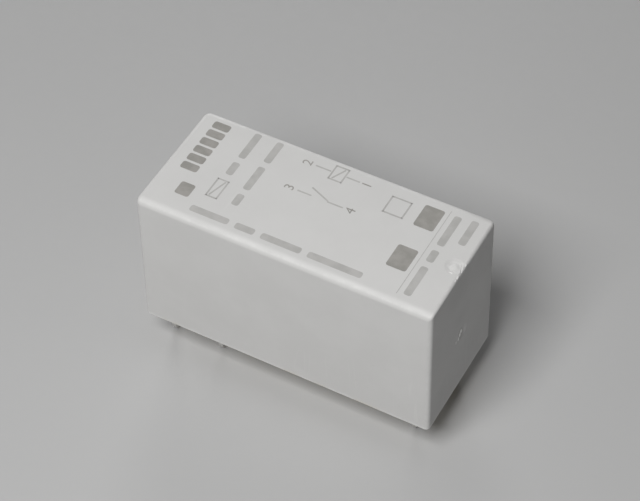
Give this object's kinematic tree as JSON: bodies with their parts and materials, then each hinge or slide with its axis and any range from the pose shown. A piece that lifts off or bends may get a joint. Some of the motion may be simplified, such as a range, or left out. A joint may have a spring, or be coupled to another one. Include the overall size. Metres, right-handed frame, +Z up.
{
  "type": "pcb power relay",
  "caption": "Sealed rectangular relay for circuit boards: a coil draws in a hinged armature, which pushes a card and closes a spring contact. Two rows of solder pins below.",
  "frame": {"origin": "middle of the cover's footprint, on the surface of the board that the stand-off feet rest on", "axes": "+X along the length from the contact pins to the coil pins, +Y across, +Z up out of the board"},
  "size_m": [0.029, 0.0126, 0.0193],
  "materials": {
    "cover": "fine satin mould texture",
    "base": "matt moulded",
    "resin": "smooth poured resin",
    "bobbin": "satin moulded",
    "winding": "enamelled copper wire",
    "tape": "smooth polyester film",
    "tinned": "bright tin",
    "iron": "dull nickel on soft iron",
    "spring": "bright rolled strip",
    "card": "satin moulded",
    "silver": "polished contact silver"
  },
  "bodies": {
    "housing": {"cover": "cover", "base": "base", "sealing_resin": "resin", "bobbin": "bobbin", "coil_winding": "winding", "coil_tape": "tape", "coil_lead_left": "winding", "coil_lead_right": "winding", "coil_pin_left": "tinned", "coil_pin_right": "tinned", "core": "iron", "yoke": "iron", "hinge_spring": "spring", "common_terminal": "tinned", "spring_rivets": "spring", "normally_open_terminal": "tinned", "fixed_contact": "silver"},
    "armature": {"armature": "iron"},
    "card": {"actuator_card": "card"},
    "contact_blade": {"contact_spring": "spring", "moving_contact": "silver"}
  },
  "joints": [
    {"name": "armature_hinge", "type": "hinge", "parent": "housing", "child": "armature", "pos_m": [0.01061, 0, 0.0021], "axis": [0, -1, 0], "range_deg": [0, 4.2], "stiffness_Nm_per_rad": 0.0005, "springref_deg": -2.86, "deforming": ["hinge_spring"]},
    {"name": "card_slide", "type": "slide", "parent": "housing", "child": "card", "axis": [-1, 0, 0], "range_m": [0, 0.000863]},
    {"name": "contact_flex", "type": "hinge", "parent": "housing", "child": "contact_blade", "pos_m": [-0.00838, 0, 0.00768], "axis": [0, -1, 0], "range_deg": [0, 8.02], "deforming": ["contact_spring"]}
  ],
  "couplings": [
    {"joint": "card_slide", "follows": "armature_hinge", "m_per_rad": 0.01175},
    {"joint": "contact_flex", "follows": "armature_hinge", "ratio": 1.9054}
  ]
}
